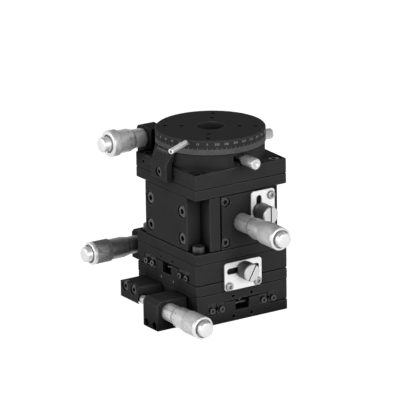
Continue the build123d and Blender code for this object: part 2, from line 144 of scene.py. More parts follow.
def mix_node(tree, factor, a, b):
    """A mix of two colours, each a tuple or a socket, by a factor from a socket."""
    n = tree.nodes.new("ShaderNodeMix")
    n.data_type = "RGBA"
    tree.links.new(factor, n.inputs[0])
    for i, v in ((MIX_A, a), (MIX_B, b)):
        if isinstance(v, tuple):
            n.inputs[i].default_value = (*v, 1)
        else:
            tree.links.new(v, n.inputs[i])
    return n.outputs[MIX_OUT]


# Rounded edges: normal of a small bevel, and how far it turns from the flat face, which masks a painted
# highlight.
edge_group, gi, go = node_group(
    "rounded_edge",
    [("Radius", "NodeSocketFloat", 0.0002)],
    [("Normal", "NodeSocketVector"), ("Edge", "NodeSocketFloat")],
)
bevel = edge_group.nodes.new("ShaderNodeBevel")
bevel.samples = 6
edge_group.links.new(gi.outputs["Radius"], bevel.inputs["Radius"])
geometry = edge_group.nodes.new("ShaderNodeNewGeometry")
dot = edge_group.nodes.new("ShaderNodeVectorMath")
dot.operation = "DOT_PRODUCT"
edge_group.links.new(bevel.outputs[0], dot.inputs[0])
edge_group.links.new(geometry.outputs["Normal"], dot.inputs[1])
away = math_node(edge_group, "SUBTRACT", 1.0, dot.outputs["Value"], clamp=True)
edge_group.links.new(bevel.outputs[0], go.inputs["Normal"])
edge_group.links.new(math_node(edge_group, "MULTIPLY", away, 6.0, clamp=True), go.inputs["Edge"])

# Grain: fine noise stretched by Stretch, over a broad soft unevenness.
grain_group, gi, go = node_group(
    "grain",
    [("Scale", "NodeSocketFloat", 2500.0), ("Stretch", "NodeSocketVector", (1, 1, 1))],
    [("Fine", "NodeSocketFloat"), ("Broad", "NodeSocketFloat")],
)
coord = grain_group.nodes.new("ShaderNodeTexCoord")
stretched = grain_group.nodes.new("ShaderNodeVectorMath")
stretched.operation = "MULTIPLY"
grain_group.links.new(coord.outputs["Object"], stretched.inputs[0])
grain_group.links.new(gi.outputs["Stretch"], stretched.inputs[1])
fine = grain_group.nodes.new("ShaderNodeTexNoise")
fine.inputs["Detail"].default_value = 3
grain_group.links.new(stretched.outputs[0], fine.inputs["Vector"])
grain_group.links.new(gi.outputs["Scale"], fine.inputs["Scale"])
broad = grain_group.nodes.new("ShaderNodeTexNoise")
broad.inputs["Scale"].default_value = 90
broad.inputs["Detail"].default_value = 4
grain_group.links.new(coord.outputs["Object"], broad.inputs["Vector"])
grain_group.links.new(fine.outputs[0], go.inputs["Fine"])
grain_group.links.new(broad.outputs[0], go.inputs["Broad"])

# Painted corner shade: how open a point is to what lies within Reach of it, 1 in the open and 0 deep in a
# corner; the colour is darkened where it is shut.
hollow_group, gi, go = node_group(
    "hollows",
    [("Reach", "NodeSocketFloat", 0.001), ("Depth", "NodeSocketFloat", 1.0)],
    [("Open", "NodeSocketFloat")],
)
near = hollow_group.nodes.new("ShaderNodeAmbientOcclusion")
near.samples = 6
hollow_group.links.new(gi.outputs["Reach"], near.inputs["Distance"])
deepened = math_node(hollow_group, "POWER", near.outputs["AO"], 1.6)
shut = math_node(hollow_group, "MULTIPLY", math_node(hollow_group, "SUBTRACT", 1.0, deepened),
                 gi.outputs["Depth"])
hollow_group.links.new(math_node(hollow_group, "SUBTRACT", 1.0, shut, clamp=True), go.inputs["Open"])


def finish(name, dark, light, rough, metallic, scale=2500.0, stretch=(1, 1, 1), bump=0.05,
           radius=0.0002, edge=(0.1, 0.1, 0.1), edge_mix=0.6, spread=0.1, specular=0.5, reach=0.001,
           depth=0.9):
    """A metal surface: grain between two colours, a painted highlight on rounded edges, painted shade in
    corners and a fine bump.
    """
    m = bpy.data.materials.new(name)
    m.use_nodes = True
    t = m.node_tree
    shader = t.nodes["Principled BSDF"]
    shader.inputs["Metallic"].default_value = metallic
    shader.inputs["Specular IOR Level"].default_value = specular
    grain = group_node(t, grain_group, Scale=scale, Stretch=stretch)
    edges = group_node(t, edge_group, Radius=radius)
    hollows = group_node(t, hollow_group, Reach=reach, Depth=depth)
    mixed = math_node(t, "ADD", math_node(t, "MULTIPLY", grain.outputs["Fine"], 0.5),
                      math_node(t, "MULTIPLY", grain.outputs["Broad"], 0.5))
    body = mix_node(t, mixed, dark, light)
    # painted highlight along rounded edges
    worn = mix_node(t, math_node(t, "MULTIPLY", edges.outputs["Edge"], edge_mix), body, edge)
    # painted shade: the colour darkens in corners, under overhangs and between parts
    shaded = mix_node(t, hollows.outputs["Open"], DEEP, worn)
    t.links.new(shaded, shader.inputs["Base Color"])
    t.links.new(math_node(t, "MULTIPLY_ADD", grain.outputs["Broad"], spread, rough - spread / 2),
                shader.inputs["Roughness"])
    b = t.nodes.new("ShaderNodeBump")
    b.inputs["Strength"].default_value = bump
    b.inputs["Distance"].default_value = 0.0001
    t.links.new(grain.outputs["Fine"], b.inputs["Height"])
    t.links.new(edges.outputs["Normal"], b.inputs["Normal"])
    t.links.new(b.outputs[0], shader.inputs["Normal"])
    return m


def paint(material, *nodes):
    """Gives CAD nodes this material alone."""
    for n in nodes:
        mesh = frame["nodes"][n].data
        mesh.materials.clear()
        mesh.materials.append(material)


def broken_edges(node, material, whole_faces=True):
    """A merged copy of a CAD node whose long straight edges are cut back."""
    mesh = frame["nodes"][node].data.copy()
    bm = bmesh.new()
    bm.from_mesh(mesh)
    bmesh.ops.remove_doubles(bm, verts=bm.verts, dist=MERGE)
    if whole_faces:
        bmesh.ops.dissolve_limit(bm, angle_limit=math.radians(0.5), verts=bm.verts, edges=bm.edges)
    weight = bm.edges.layers.float.new("bevel_weight_edge")
    for e in bm.edges:
        long = e.calc_length() > LONG_EDGE and len(e.link_faces) == 2
        e[weight] = float(long and math.radians(60) < e.calc_face_angle_signed(0) < math.radians(120))
    bm.to_mesh(mesh)
    bm.free()
    mesh.shade_smooth()
    mesh.set_sharp_from_angle(angle=math.radians(30))
    mesh.materials.clear()
    mesh.materials.append(material)
    obj = bpy.data.objects.new(node + "_broken", mesh)
    bpy.context.scene.collection.objects.link(obj)
    cut = obj.modifiers.new("edges", "BEVEL")
    cut.width = EDGE_CUT
    cut.segments = 1
    cut.limit_method = "WEIGHT"
    cut.use_clamp_overlap = False
    cut.loop_slide = False
    flat = obj.modifiers.new("flat", "WEIGHTED_NORMAL")
    flat.weight = 100
    flat.keep_sharp = True
    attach(obj, frame["nodes"][node].parent.name.removeprefix("body:"))
    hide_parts(node)


# its painted shade reaches 12 mm, so recesses, the block tops and the barrel under the table are darkened
black = finish("anodised_black", (0.021, 0.021, 0.0215), (0.041, 0.041, 0.042), 0.52, 0.0,
               edge=(0.2, 0.2, 0.202), edge_mix=0.7, bump=0.1, specular=0.004, radius=0.0004,
               reach=0.012, depth=1.0)
for node in ("x_base_plate", "x_carriage", "x_micrometer_block", "x_anvil_block", "y_base_plate",
             "y_carriage", "y_micrometer_block", "y_anvil_block", "z_base_plate", "z_front_plate",
             "z_side_plates", "z_side_columns", "z_top_plate", "r_clamp_ring", "r_bracket", "r_vernier"):
    broken_edges(node, black)
paint(black, "r_table")
for node in ("z_guide_core", "r_housing"):
    broken_edges(node, black, whole_faces=False)


# ---- Rails and wedge ----------------------------------------------------
# Hardened steel rails with ground V grooves, and the steel wedge of the lift.
# They are pickled dark, so only their grooves and ends catch the light.
rail_steel = finish("dark_rail_steel", (0.018, 0.018, 0.019), (0.03, 0.03, 0.031), 0.4, 0.5,
                    scale=900.0, stretch=(0.05, 1, 1), bump=0.04, edge=(0.12, 0.12, 0.12), specular=0.3)
paint(rail_steel, "x_base_rails", "x_carriage_rails", "y_base_rails", "y_carriage_rails", "z_wedge")


# ---- Rollers, cages and balls -------------------------------------------
# Polished bearing steel rollers in thin sheet cages, and the ball ring that
# carries the turntable. They run inside and show only through the gaps.
rolling_steel = finish("bearing_steel", (0.55, 0.55, 0.55), (0.7, 0.7, 0.7), 0.18, 1.0, bump=0.01,
                       edge=(0.8, 0.8, 0.8))
paint(rolling_steel, "x_roller_cages", "y_roller_cages", "z_roller_cages", "r_bearing_balls")


# ---- Lock plates --------------------------------------------------------
# Thin stainless plates with a slot and rounded corners, one on the side of each
# slide and one on the lift, brushed along their length to a near-white satin.
plate_x = finish("brushed_plate_x", (0.72, 0.72, 0.72), (0.86, 0.86, 0.86), 0.42, 0.35, scale=1.0,
                 stretch=(9000, 260, 9000), bump=0.03, edge=(0.9, 0.9, 0.9), edge_mix=0.3)
plate_y = finish("brushed_plate_y", (0.72, 0.72, 0.72), (0.86, 0.86, 0.86), 0.42, 0.35, scale=1.0,
                 stretch=(260, 9000, 9000), bump=0.03, edge=(0.9, 0.9, 0.9), edge_mix=0.3)
paint(plate_y, "x_lock_plate")
paint(plate_x, "y_lock_plate", "z_lock_plate")


# ---- Micrometer heads ---------------------------------------------------
# Each head is a graduated sleeve screwed into its block and a thimble that runs
# over it, with a bevelled front, a fine straight knurl and a smooth ratchet cap.
# All are turned steel with satin chrome, the Y head's drawn darker as painted shade, and
# each thimble's front carries a painted shadow ring; the graduations are filled with black.
SLEEVE_BORE = 2.6   # radius of a sleeve's bore, in mm
STEM_R = 4.48       # radius of its stem in the holder
SPINDLE_R = 2.5
LIP = 0.08          # how far a thimble's front stands out round its bore
DARK_FRONT = 0.3    # length of the painted shadow ring at a thimble's front
SLOPE_LENGTH = 2.6  # length of its graduated bevel
PITCH = 0.5         # travel for each turn, which is the sleeve's finest division


def place(x, y, z, turn=0.0):
    """The placement of a body lying along +X: turned about Z by some degrees, then moved to a point
    in mm."""
    return Matrix.Translation((x, y, z)) @ Matrix.Rotation(math.radians(turn), 4, "Z")


def moved(points, at):
    """Points carried by a placement: its turn times each point, plus its shift."""
    m = np.array(at)
    return np.asarray(points) @ m[:3, :3].T + m[:3, 3]


def grid_faces(rows, cols, closed=False):
    """Quads between neighbouring points of a rows by cols grid, which closes round its columns, and
    round its rows as well if closed."""
    here = np.arange(rows * cols).reshape(rows, cols)
    beside = np.roll(here, -1, 1)
    quads = np.stack([here, beside, np.roll(beside, -1, 0), np.roll(here, -1, 0)], -1)
    return (quads if closed else quads[:-1]).reshape(-1, 4).tolist()


def joined(parts):
    """Several shapes as one: the faces of each count on from the points of those before it."""
    starts = np.cumsum([0] + [len(points) for points, _ in parts[:-1]]).tolist()
    faces = [[i + start for i in face] for start, (_, own) in zip(starts, parts) for face in own]
    return np.concatenate([points for points, _ in parts]), faces


def solid(name, shape, at, material, body, replaces=(), sharp=32.0, closed=True):
    """A mesh piece from points in mm and faces: doubles merged, then normals turned outward, and edges
    sharp past an angle."""
    points, faces = shape
    mesh = bpy.data.meshes.new(name)
    mesh.from_pydata(moved(points, at) * 0.001, [], faces)
    bm = bmesh.new()
    bm.from_mesh(mesh)
    bmesh.ops.remove_doubles(bm, verts=bm.verts, dist=MERGE)
    bmesh.ops.dissolve_degenerate(bm, edges=bm.edges, dist=1e-7)
    if closed:
        bmesh.ops.recalc_face_normals(bm, faces=bm.faces)
    bm.to_mesh(mesh)
    bm.free()
    mesh.shade_smooth()
    mesh.set_sharp_from_angle(angle=math.radians(sharp))
    obj = bpy.data.objects.new(name, mesh)
    bpy.context.scene.collection.objects.link(obj)
    mesh.materials.append(material)
    if body:
        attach(obj, body)
    if replaces:
        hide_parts(*replaces)
    return obj


def turned(rows, cols, flutes=0, depth=0.15, closed=False):
    """A surface turned about X from rows (x, radius, fluted): point (i, k) is (x, r cos a, r sin a) at
    a = 360 k / cols degrees, where r is the radius, less the depth on each second half flute."""
    rows = np.array(rows, float)
    step = np.arange(cols)
    a = step * 2 * np.pi / cols
    low = depth * (np.floor(2 * flutes * step / cols + 0.25) % 2)
    r = np.maximum(rows[:, 1:2] - rows[:, 2:3] * low, 0)
    points = np.stack([np.repeat(rows[:, :1], cols, 1), r * np.cos(a), r * np.sin(a)], -1)
    return points.reshape(-1, 3), grid_faces(len(rows), cols, closed)


def plain(points):
    """Rows without flutes, from (x, radius) pairs."""
    return [(x, r, 0) for x, r in points]


def ball_nose(tip, r, nose):
    """Rows of a rod's rounded tip: x = tip + nose - sqrt(nose^2 - q^2), for q from 0 to the rod's
    radius."""
    q = np.linspace(0, r, 6)
    return plain(zip(tip + nose - np.sqrt(nose ** 2 - q ** 2), q))


def faces_beyond(obj, at, starts, numbers):
    """Numbers the materials of the faces by where their middles lie along a piece's own axis: past
    each start comes its number, and the starts are taken in rising order."""
    middles = np.empty(len(obj.data.polygons) * 3)
    obj.data.polygons.foreach_get("center", middles)
    x = moved(middles.reshape(-1, 3) * 1000, at.inverted())[:, 0]
    index = np.zeros(len(x), np.int32)
    for start, material in sorted(zip(starts, numbers)):
        index[x > start] = material
    obj.data.polygons.foreach_set("material_index", index)


chrome = finish("satin_chrome", (0.46, 0.46, 0.465), (0.66, 0.66, 0.665), 0.34, 0.5, scale=1800.0,
                bump=0.03, edge=(0.7, 0.7, 0.7), edge_mix=0.3)
pale_chrome = finish("pale_chrome", (0.62, 0.62, 0.62), (0.76, 0.76, 0.76), 0.36, 0.55, scale=1500.0,
                     bump=0.02, edge=(0.9, 0.9, 0.9), edge_mix=0.4)
# A darker copy of the satin chrome for the Y head: painted shade, as all four heads are alike.
dull_chrome = finish("dull_chrome", (0.17, 0.17, 0.172), (0.27, 0.27, 0.272), 0.34, 0.8, scale=1800.0,
                     bump=0.03, edge=(0.5, 0.5, 0.5), edge_mix=0.3)
# A dark ring at each thimble's front: painted shadow of the gap round the sleeve.
dark_lip = finish("shadowed_lip", (0.04, 0.04, 0.04), (0.07, 0.07, 0.07), 0.4, 0.6, bump=0.02)


def filling(name, shade):
    """The matt paint in engraved lines and numbers."""
    m = bpy.data.materials.new(name)
    m.use_nodes = True
    shader = m.node_tree.nodes["Principled BSDF"]
    shader.inputs["Base Color"].default_value = (shade, shade, shade, 1)
    shader.inputs["Roughness"].default_value = 0.6
    return m


ink = filling("black_filling", 0.02)


def number(text, size):
    """A short number as a flat shape centred on the origin, in mm."""
    curve = bpy.data.curves.new("number", "FONT")
    curve.body = text
    curve.size = size
    curve.align_x = "CENTER"
    curve.align_y = "CENTER"
    curve.resolution_u = 2
    obj = bpy.data.objects.new("number", curve)
    bpy.context.scene.collection.objects.link(obj)
    bpy.context.view_layer.update()
    mesh = obj.to_mesh()
    points = np.empty(len(mesh.vertices) * 3)
    mesh.vertices.foreach_get("co", points)
    faces = [list(p.vertices) for p in mesh.polygons]
    obj.to_mesh_clear()
    bpy.data.objects.remove(obj)
    bpy.data.curves.remove(curve)
    return points.reshape(-1, 3)[:, :2], faces


def strokes(s0, s1, v0, v1):
    """Flat rectangles from s0 to s1 along and v0 to v1 across, one for each value of the arrays."""
    s0, s1, v0, v1 = np.broadcast_arrays(s0, s1, v0, v1)
    corners = np.stack([s0, v0, s1, v0, s1, v1, s0, v1], -1).reshape(-1, 2)
    return corners, np.arange(len(corners)).reshape(-1, 4).tolist()


def round_x(flat, radius_at, angles, lift=0.012):
    """Flat points (s, v) laid on a body turned about X: (s, r cos a, r sin a) with a = angle + v / r,
    where r is the radius at s plus a small lift."""
    s, v = flat.T
    r = radius_at(s) + lift
    a = angles + v / r
    return np.stack([s, r * np.cos(a), r * np.sin(a)], -1)


def micrometer(tag, at, body, ride_thimble, ride_spindle, back, front, smooth, knurl, tip,
               sleeve_end, sizes, zero, steel=chrome):
    """Sleeve, spindle, thimble and cap with their graduations, lying along +X from the block's face."""
    out_r, barrel_r, knurl_r, cap = sizes
    n = front + smooth + knurl
    k = front + smooth
    bore = out_r + 0.2
    slope = (barrel_r - bore - LIP) / SLOPE_LENGTH
    rows = plain([(back, SLEEVE_BORE), (back, STEM_R), (-0.02, STEM_R), (0.0, out_r),
                  (sleeve_end, out_r), (sleeve_end, SLEEVE_BORE)])
    solid(tag + "sleeve_turned", turned(rows, 96, closed=True), at, steel, body, [tag + "sleeve"])
    rows = ball_nose(tip, SPINDLE_R, 5.0) + plain([(n - 1.6, SPINDLE_R), (n - 1.6, 0)])
    solid(tag + "spindle_turned", turned(rows, 64), at, steel, ride_spindle, [tag + "spindle"])
    wall = n - 6.0
    rows = plain([(wall, 2.55), (wall, bore), (front, bore), (front, bore + LIP),
                  (front + DARK_FRONT, bore + LIP + slope * DARK_FRONT),
                  (front + SLOPE_LENGTH, barrel_r), (k - 0.15, barrel_r), (k, barrel_r - 0.12),
                  (k + 0.15, barrel_r - 0.12), (k + 0.15, knurl_r - 0.3), (k + 0.4, knurl_r - 0.02)])
    rows += [(k + 0.45, knurl_r, 1), (n - 2.4, knurl_r, 1)]
    rows += plain([(n - 2.35, knurl_r - 0.14), (n - 2.2, knurl_r - 0.14), (n - 2.1, knurl_r),
                   (n - 0.6, knurl_r), (n - 0.15, knurl_r - 0.3), (n, knurl_r - 0.6), (n, 5.3),
                   (n - 0.1, 5.2), (n - 1.4, 5.2), (n - 1.4, 2.55)])
    thimble = solid(tag + "thimble_turned", turned(rows, 288, 72, 0.11, closed=True), at, steel,
                    ride_thimble, [tag + "thimble"])
    thimble.data.materials.append(dark_lip)
    thimble.data.materials.append(pale_chrome)
    # the first DARK_FRONT of each thimble's front takes the painted shadow ring, its end rim the pale
    # chrome
    faces_beyond(thimble, at, [front + DARK_FRONT, front, n - 2.1], [0, 1, 2])
    rows = plain([(n - 1.38, 0), (n - 1.38, 4.25), (n + cap - 0.9, 4.25), (n + cap - 0.45, 4.12),
                  (n + cap - 0.12, 3.8), (n + cap, 3.4), (n + cap, 0)])
    solid(tag + "ratchet_cap", turned(rows, 96), at, pale_chrome, ride_thimble)

    # a datum line on the sleeve, a line each half millimetre on its two sides, and a number every 5 mm
    first = front - math.floor((front - 0.8) / PITCH) * PITCH
    steps = np.arange(int((sleeve_end - 1.0 - first) / PITCH))
    x = first + PITCH * steps
    tall = np.where(steps % 10 == 0, 1.6, 1.0) * np.where(steps % 2 == 0, 1, -1)
    flat = [strokes([0.6], [sleeve_end - 0.5], [-0.08], [0.08]),
            strokes(x - 0.08, x + 0.08, np.minimum(0, tall), np.maximum(0, tall))]
    for i in steps[::10]:
        points, faces = number(str(i // 2), 1.7)
        flat.append((np.array([[x[i], 2.5]]) + points[:, ::-1] * (1, -1), faces))
    points, faces = joined(flat)
    solid(tag + "sleeve_marks", (round_x(points, lambda s: out_r + 0 * s, zero), faces), at, ink,
          body, closed=False)

    # fifty lines on the thimble's bevel, longer each fifth, and a number behind each of those
    line = np.arange(50)
    long = np.where(line % 5 == 0, 2.3, 1.5)
    points, faces = strokes(front + DARK_FRONT + 0 * line, front + long, -0.085, 0.085)
    angles = zero + np.repeat(line, 4) * math.pi / 25
    bevel_marks = [(round_x(points, lambda s: bore + LIP + slope * (s - front), angles), faces)]
    for i in range(0, 50, 5):
        points, faces = number(str(i), 1.9)
        flat = np.array([[front + 3.7, 0]]) + points[:, ::-1] * (1, -1)
        bevel_marks.append((round_x(flat, lambda s: barrel_r + 0 * s, zero + i * math.pi / 25), faces))
    solid(tag + "thimble_marks", joined(bevel_marks), at, ink, ride_thimble, closed=False)


small = (5.0, 5.8, 6.4, 3.7)
micrometer("x_", place(21.2, -42.5, 10.2), "x_base", "x_thimble", "x_spindle", -14.6, 9.5, 11.4, 13.6,
           -27.7, 21.5, small, math.radians(140))
# the Y head takes the darker chrome as painted shade
micrometer("y_", place(0, 0, 18, -90) @ place(21.2, -42.5, 10.9), "x_carriage", "y_thimble",
           "y_spindle", -14.6, 8.8, 11.4, 12.5, -27.7, 19.7, small, math.radians(60), dull_chrome)
micrometer("z_", place(29.7, 0, 56.3), "y_carriage", "z_thimble", "z_spindle", -15.7, 12.4, 11.4, 15.0,
           -17.65, 24.3, small, math.radians(140))
micrometer("r_", place(-34.4, -22.5, 93.2, -90), "z_carriage", "r_thimble", "r_spindle", -10.0, 7.5,
           9.8, 5.4, -19.38, 13.2, (5.3, 6.5, 7.4, 4.6), math.radians(60))


# ---- Lock knobs ---------------------------------------------------------
# Knurled steel clamping screws that pass through the slot of a lock plate. The
# side is straight knurled and dark, the face is turned bright with one slot.
knob_steel = finish("dark_knurled_steel", (0.11, 0.11, 0.11), (0.19, 0.19, 0.19), 0.34, 0.8, bump=0.03,
                    edge=(0.4, 0.4, 0.4), edge_mix=0.5)
face_steel = finish("bright_turned_face", (0.5, 0.5, 0.5), (0.62, 0.62, 0.62), 0.34, 0.7,
                    bump=0.02, edge=(0.9, 0.9, 0.9), edge_mix=0.4)


def slotted_knob(tag, at, body, stud, head_r, head_len, slot_at, node):
    """A knob turned about X with a straight slot 0.8 wide and 1 deep across its face: point (i, k) is
    (x, r cos a, r sin a), where the four angles at the slot's corners are pressed back by its depth."""
    half = math.asin(0.4 / (head_r - 0.5))
    arc = np.linspace(half, math.pi - half, 97)
    flute = 0.16 * ((np.arange(97) // 2) % 2)
    a = np.concatenate([[-half, half], arc, [math.pi - half, math.pi + half], arc + math.pi])
    low = np.concatenate([[0, 0], flute, [0, 0], flute])
    pressed = np.zeros(len(a), bool)
    pressed[[0, 1, 99, 100]] = True
    rows = plain([(-stud, 0), (-stud, 1.3), (-stud + 0.3, 1.48), (0.1, 1.48), (0.1, 3.9),
                  (1.2, 3.9), (1.2, head_r - 0.5), (1.6, head_r - 0.05)])
    rows += [(1.65, head_r, 1), (head_len - 1.15, head_r, 1)]
    rows += plain([(head_len - 1.1, head_r - 0.05), (head_len - 1.0, head_r - 0.05),
                   (head_len - 0.5, head_r - 0.05), (head_len, head_r - 0.5)])
    rows = np.array(rows)
    r = rows[:, 1:2] - rows[:, 2:3] * low
    x = np.where(pressed, np.minimum(rows[:, :1], head_len - 1.0), rows[:, :1])
    turn = math.radians(slot_at)
    points = np.stack([x, r * np.cos(a + turn), r * np.sin(a + turn)], -1).reshape(-1, 3)
    top = (len(rows) - 1) * len(a)
    upper = list(range(top + 2, top + 99))
    lower = list(range(top + 101, top + 198))
    faces = grid_faces(len(rows), len(a)) + [upper, lower, [top, top + 1, top + 99, top + 100],
                                             [upper[0], upper[-1], top + 99, top + 1],
                                             [lower[0], lower[-1], top, top + 100]]
    obj = solid(tag, (points, faces), at, knob_steel, body, [node])
    obj.data.materials.append(face_steel)
    faces_beyond(obj, at, [head_len - 0.9], [1])


slotted_knob("x_lock_knob_turned", place(0, 31, 11.4, 90), "x_lock_knob", 6.0, 5.0, 9.4, 60,
             "x_lock_knob")
slotted_knob("y_lock_knob_turned", place(31, 0, 29.4), "y_lock_knob", 6.0, 5.0, 9.4, 60, "y_lock_knob")
slotted_knob("z_lock_knob_turned", place(31, 11, 61), "z_lock_knob", 8.0, 4.9, 11.9, 90, "z_lock_knob")


# ---- Thumb screws -------------------------------------------------------
# Two small knurled stainless screws on the turntable: one clamps the hub to the
# fine-motion ring, the other locks the ring. Their ends are turned bright.
thumb_steel = finish("silver_knurled_steel", (0.5, 0.5, 0.5), (0.62, 0.62, 0.62), 0.3, 0.9, bump=0.02,
                     edge=(0.85, 0.85, 0.85), edge_mix=0.5)


def thumb_screw(tag, at, body, node, stud, neck, start, end, r):
    """A thumb screw turned about X: a stud, a neck and a fluted head with a bevelled end."""
    rows = plain([(stud, 0), (stud, 1.3), (stud + 0.3, 1.48), (neck, 1.48), (neck, 2.1), (start, 2.1),
                  (start, r - 0.3), (start + 0.3, r - 0.03)])
    rows += [(start + 0.35, r, 1), (end - 0.75, r, 1)]
    rows += plain([(end - 0.7, r - 0.03), (end - 0.4, r - 0.03), (end, r - 0.45), (end, 1.2),
                   (end - 0.12, 1.0), (end - 0.12, 0)])
    solid(tag, turned(rows, 144, 36, 0.12), at, thumb_steel, body, [node])


thumb_screw("r_clamp_knob_turned", place(0, 0, 92.8), "r_clamp_knob", "r_clamp_knob", 12.1, 33.2, 34.4,
            45.0, 3.1)
thumb_screw("r_lock_knob_turned", place(0, 0, 92.8, 90), "r_lock_knob", "r_lock_knob", 20.9, 30.4, 31.2,
            40.3, 2.95)


# ---- Lever --------------------------------------------------------------
# A ground steel pin screwed into the rim of the table for coarse turning, with a
# hexagon socket in its outer end.
def socket_end(rows, key, depth, cols=24):
    """A body turned about X that ends flat with a hexagon socket: past the last row come three rings,
    the hexagon r = key / cos(angle from the nearest flat), the same one deeper, and its middle."""
    rows = np.array(rows, float)
    a = np.arange(cols) * 2 * np.pi / cols
    hexagon = key / np.cos((a % (np.pi / 3)) - np.pi / 6)
    end = rows[-1, 0]
    x = np.concatenate([rows[:, 0], [end, end - depth, end - depth]])
    r = np.concatenate([np.repeat(rows[:, 1:2], cols, 1), [hexagon, hexagon, 0 * a]])
    points = np.stack([np.repeat(x[:, None], cols, 1), r * np.cos(a), r * np.sin(a)], -1)
    return points.reshape(-1, 3), grid_faces(len(x), cols)


lever_rows = plain([(24, 0), (24, 1.3), (24.2, 1.5), (48.1, 1.5), (48.5, 1.15)])
solid("r_lever_turned", socket_end(lever_rows, 0.75, 1.5, 48), place(0, 0, 102.4, -59.6), pale_chrome,
      "r_table", ["r_lever"])


# ---- Spring plunger -----------------------------------------------------
# It stands opposite the fine micrometer and pushes the ring's arm against its
# spindle: a chromed barrel, a ground pin and a small coil spring.
plunger_at = place(-34.4, 0, 93.2, 90)
rows = plain([(11.5, 1.58), (11.5, 3.5), (40.3, 3.5), (40.8, 3.2), (41.2, 2.7), (41.2, 0), (38.5, 0),
              (38.5, 1.58)])
solid("r_plunger_barrel_turned", turned(rows, 72, closed=True), plunger_at, chrome,
      "z_carriage", ["r_plunger_barrel"])
rows = ball_nose(3.12, 1.55, 3.0) + plain([(20.0, 1.55), (20.0, 0)])
solid("r_plunger_pin_turned", turned(rows, 48), plunger_at, chrome,
      "r_plunger_pin", ["r_plunger_pin"])


# ---- Springs ------------------------------------------------------------
# Closely wound extension springs of drawn steel wire hook over pins in the slides
# and in the lift; the plunger has an open compression spring. Each set of coils is
# one piece that stays where it is made.
spring_steel = finish("spring_steel", (0.14, 0.14, 0.14), (0.24, 0.24, 0.24), 0.3, 0.9, bump=0.01)


def coil(low, high, r, wire, pitch, hooks=True):
    """A wire wound along X: its middle line is (x, R cos t, R sin t) with x rising a pitch each turn,
    and a hook at each end is nine tenths of a ring in the XY plane. The wire is a six sided tube
    about it: middle + half the wire times (cos w * p + sin w * q), p and q square to the line."""
    rc = r - wire / 2
    reach = r - 0.6 if hooks else wire / 2
    a = low + reach + wire / 2
    b = high - reach - wire / 2
    turns = (b - a) / pitch
    t = np.linspace(0, turns * 2 * np.pi, int(turns * 14) + 1)
    line = np.stack([a + (b - a) * t / t[-1], rc * np.cos(t), rc * np.sin(t)], 1)
    if hooks:
        ring = np.linspace(0, 1.8 * np.pi, 22)
        hook = np.stack([rc * np.cos(ring), rc * np.sin(ring), 0 * ring], 1)
        line = np.vstack([hook[::-1] + (low, 0, 0), line, hook * (-1, 1, 1) + (high, 0, 0)])
    d = np.gradient(line, axis=0)
    d /= np.linalg.norm(d, axis=1)[:, None] + 1e-12
    ref = np.where(np.abs(d[:, :1]) > 0.9, [[0.0, 0.0, 1.0]], [[1.0, 0.0, 0.0]])
    p = np.cross(d, ref)
    p /= np.linalg.norm(p, axis=1)[:, None] + 1e-12
    q = np.cross(d, p)
    w = (np.arange(6) * np.pi / 3)[None, :, None]
    points = line[:, None] + wire / 2 * (np.cos(w) * p[:, None] + np.sin(w) * q[:, None])
    last = (len(line) - 1) * 6
    ends = [list(range(6)), list(range(last, last + 6))]
    return points.reshape(-1, 3), grid_faces(len(line), 6) + ends


def spring(tag, node, parts):
    """One or two coils as a single piece that stays where it is made."""
    shape = joined([(moved(points, at), faces) for at, (points, faces) in parts])
    obj = solid(tag, shape, Matrix.Identity(4), spring_steel, None, [node], sharp=80)
    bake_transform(obj)


for tag, at, fixed, moving, start, end in (
        ("x_", place(0, 0, 0), "x_base", "x_carriage", (-22, 0, 9.2), (26, 0, 9.2)),
        ("y_", place(0, 0, 18, -90), "x_carriage", "y_carriage", (0, 22, 27.2), (0, -26, 27.2))):
    parts = [(at @ Matrix.Translation((0, s * 2.2, 9.2)), coil(-22.8, 26.3, 1.5, 0.4, 0.62))
             for s in (-1, 1)]
    spring(tag + "return_springs_wound", tag + "return_springs", parts)
up = Matrix.Rotation(math.radians(-90), 4, "Y")
parts = [(Matrix.Translation((-24, s * 7.0, 0)) @ up, coil(44.1, 73.7, 1.9, 0.5, 0.75)) for s in (-1, 1)]
spring("z_return_springs_wound", "z_return_springs", parts)
parts = [(plunger_at, coil(20.05, 38.45, 1.4, 0.3, 1.3, hooks=False))]
spring("r_plunger_spring_wound", "r_plunger_spring", parts)


# ---- Screws -------------------------------------------------------------
# Black oxide socket cap screws with knurled heads, a turned chamfer and a hexagon
# socket; small button screws hold the lock plates; dowel pins hold the springs.
oxide = finish("black_oxide", (0.04, 0.04, 0.041), (0.075, 0.075, 0.076), 0.34, 0.6, bump=0.03,
               edge=(0.2, 0.2, 0.2), edge_mix=0.6, radius=0.00012, reach=0.003, depth=1.0)
screw_steel = finish("plain_screw_steel", (0.3, 0.3, 0.3), (0.42, 0.42, 0.42), 0.34, 0.8, bump=0.03,
                     edge=(0.75, 0.75, 0.75), edge_mix=0.4, radius=0.00012)
M2 = (1.8, 1.5, 1.0)        # each screw's head radius, head height and thread radius, in mm
M25 = (2.25, 2.4, 1.25)
M25_LOW = (2.2, 1.3, 1.25)
M3 = (2.75, 2.8, 1.5)
M4 = (3.5, 3.9, 2.0)
FACING = {"x+": ("Y", 0), "x-": ("Y", 180), "y+": ("Z", 90), "y-": ("Z", -90), "z+": ("Y", -90),
          "z-": ("Y", 90)}


